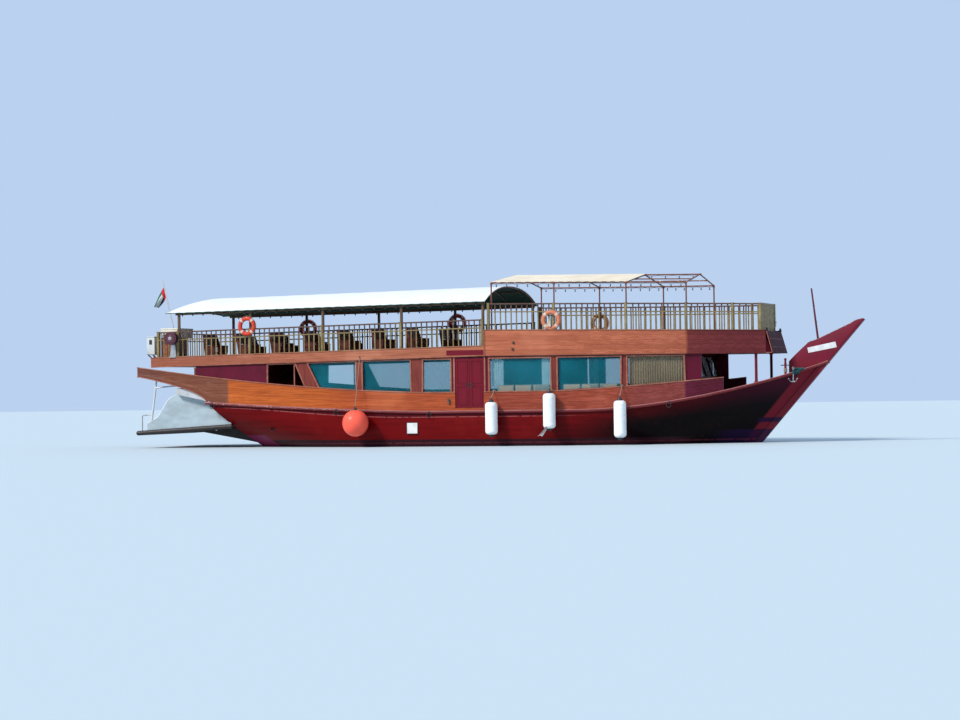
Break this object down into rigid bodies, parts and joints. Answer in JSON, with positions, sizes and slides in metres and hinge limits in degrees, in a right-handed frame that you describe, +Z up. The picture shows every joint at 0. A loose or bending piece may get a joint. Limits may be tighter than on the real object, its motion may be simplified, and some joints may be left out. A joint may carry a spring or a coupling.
{
  "type": "two-deck motor dhow",
  "caption": "Wooden passenger dhow with raked stem, glazed saloon, canopied upper deck, open pergola forward, swim platform, propeller and rudder.",
  "frame": {"origin": "on the waterline, amidships, on the centreline", "axes": "+X forward towards the bow, +Y to port, +Z up"},
  "size_m": [26.9524, 7.0765, 8.0956],
  "materials": {
    "hull_paint": "gloss red paint over planks",
    "stem_paint": "dull maroon paint",
    "rub_rail_paint": "faded pinkish paint",
    "varnished_planks": "satin varnish",
    "saloon_varnish": "satin varnish",
    "maroon_paint": "satin paint",
    "deck_planks": "worn matt planks",
    "rail_paint": "khaki satin paint",
    "canopy_frame_wood": "dark oiled wood",
    "saloon_glass": "tinted glass",
    "canopy_skin": "white coated cloth",
    "shade_net": "woven shade cloth",
    "pergola_pipe": "brown paint on pipe",
    "staff_paint": "white paint",
    "bow_pole_paint": "dull maroon paint",
    "flag_cloth": "plain bunting",
    "lifebuoy_shell": "faded orange",
    "fender_vinyl": "white vinyl, scuffed",
    "buoy_vinyl": "orange vinyl",
    "platform_paint": "pale grey paint",
    "gallery_paint": "pale blue-white paint",
    "locker_paint": "brown paint",
    "cabinet_shell": "white shell",
    "reel_steel": "grey paint",
    "reel_drum_paint": "plum paint",
    "settee_cloth": "woven cover",
    "seat_slats": "dark stain",
    "helm_wood": "satin varnish",
    "galvanised": "dull zinc",
    "engine_paint": "grey enamel",
    "bronze": "dull cast bronze",
    "rudder_paint": "matt maroon paint"
  },
  "bodies": {
    "vessel": {"hull": "hull_paint", "keel_and_stem": "stem_paint", "rub_rail_starboard": "rub_rail_paint", "rub_rail_port": "rub_rail_paint", "plank_band_starboard": "varnished_planks", "plank_band_port": "varnished_planks", "saloon_wall_starboard": "saloon_varnish", "saloon_wall_port": "saloon_varnish", "glazing_starboard": "saloon_glass", "glazing_port": "saloon_glass", "saloon_bulkhead_aft": "maroon_paint", "windscreen_frame": "maroon_paint", "windscreen_glass": "saloon_glass", "aft_deck": "deck_planks", "forward_deck": "deck_planks", "aft_fascia": "varnished_planks", "forward_fascia": "varnished_planks", "foredeck_post_starboard": "maroon_paint", "foredeck_post_port": "maroon_paint", "aft_guard_rail": "rail_paint", "forward_guard_rail": "rail_paint", "canopy": "canopy_skin", "canopy_frame_starboard": "canopy_frame_wood", "canopy_frame_port": "canopy_frame_wood", "pergola_frame": "pergola_pipe", "shade_cloth": "shade_net", "flagstaff": "staff_paint", "flag": "flag_cloth", "bow_pole": "bow_pole_paint", "lifebuoy_aft_starboard": "lifebuoy_shell", "lifebuoy_fore_starboard": "lifebuoy_shell", "lifebuoy_aft_port": "lifebuoy_shell", "lifebuoy_middle_port": "lifebuoy_shell", "lifebuoy_fore_port": "lifebuoy_shell", "fender_1": "fender_vinyl", "fender_2": "fender_vinyl", "fender_3": "fender_vinyl", "round_buoy": "buoy_vinyl", "swim_platform": "platform_paint", "stern_gallery": "gallery_paint", "stern_locker": "locker_paint", "stern_cabinet": "cabinet_shell", "hose_reel_stand": "reel_steel", "saloon_settee": "settee_cloth", "aft_deck_seats": "seat_slats", "helm_console": "helm_wood", "bow_bitt_starboard": "bow_pole_paint", "bow_bitt_port": "bow_pole_paint", "grapnel": "galvanised", "engine_hatch": "deck_planks", "engine": "engine_paint"},
    "propeller": {"propeller": "bronze"},
    "rudder": {"rudder": "rudder_paint"},
    "helm_wheel": {"helm_wheel": "helm_wood"},
    "hose_reel_drum": {"hose_reel_drum": "reel_drum_paint"},
    "door_starboard_aft": {"door_starboard_aft": "maroon_paint"},
    "door_starboard_fore": {"door_starboard_fore": "maroon_paint"},
    "door_port_aft": {"door_port_aft": "maroon_paint"},
    "door_port_fore": {"door_port_fore": "maroon_paint"}
  },
  "joints": [
    {"name": "propeller_spin", "type": "hinge", "parent": "vessel", "child": "propeller", "pos_m": [-6.05, 0, -1.2], "axis": [1, 0, 0], "continuous": true},
    {"name": "rudder_turn", "type": "hinge", "parent": "vessel", "child": "rudder", "pos_m": [-6.9, 0, -1.2], "axis": [0, 0, 1], "range_deg": [-35, 35]},
    {"name": "helm_wheel_turn", "type": "hinge", "parent": "vessel", "child": "helm_wheel", "pos_m": [7.26, 0, 2.1], "axis": [1, 0, 0], "range_deg": [-720, 720]},
    {"name": "hose_reel_spin", "type": "hinge", "parent": "vessel", "child": "hose_reel_drum", "pos_m": [-10.93, -2.74, 4], "axis": [0, 1, 0], "continuous": true},
    {"name": "door_starboard_aft_swing", "type": "hinge", "parent": "vessel", "child": "door_starboard_aft", "pos_m": [0.14, -2.97656, 2.2], "axis": [0, 0, 1], "range_deg": [0, 90]},
    {"name": "door_starboard_fore_swing", "type": "hinge", "parent": "vessel", "child": "door_starboard_fore", "pos_m": [1.16, -2.97656, 2.2], "axis": [0, 0, -1], "range_deg": [0, 90]},
    {"name": "door_port_aft_swing", "type": "hinge", "parent": "vessel", "child": "door_port_aft", "pos_m": [0.14, 2.97656, 2.2], "axis": [0, 0, -1], "range_deg": [0, 90]},
    {"name": "door_port_fore_swing", "type": "hinge", "parent": "vessel", "child": "door_port_fore", "pos_m": [1.16, 2.97656, 2.2], "axis": [0, 0, 1], "range_deg": [0, 90]}
  ],
  "couplings": [
    {"joint": "helm_wheel_turn", "follows": "rudder_turn", "ratio": 20.5}
  ]
}
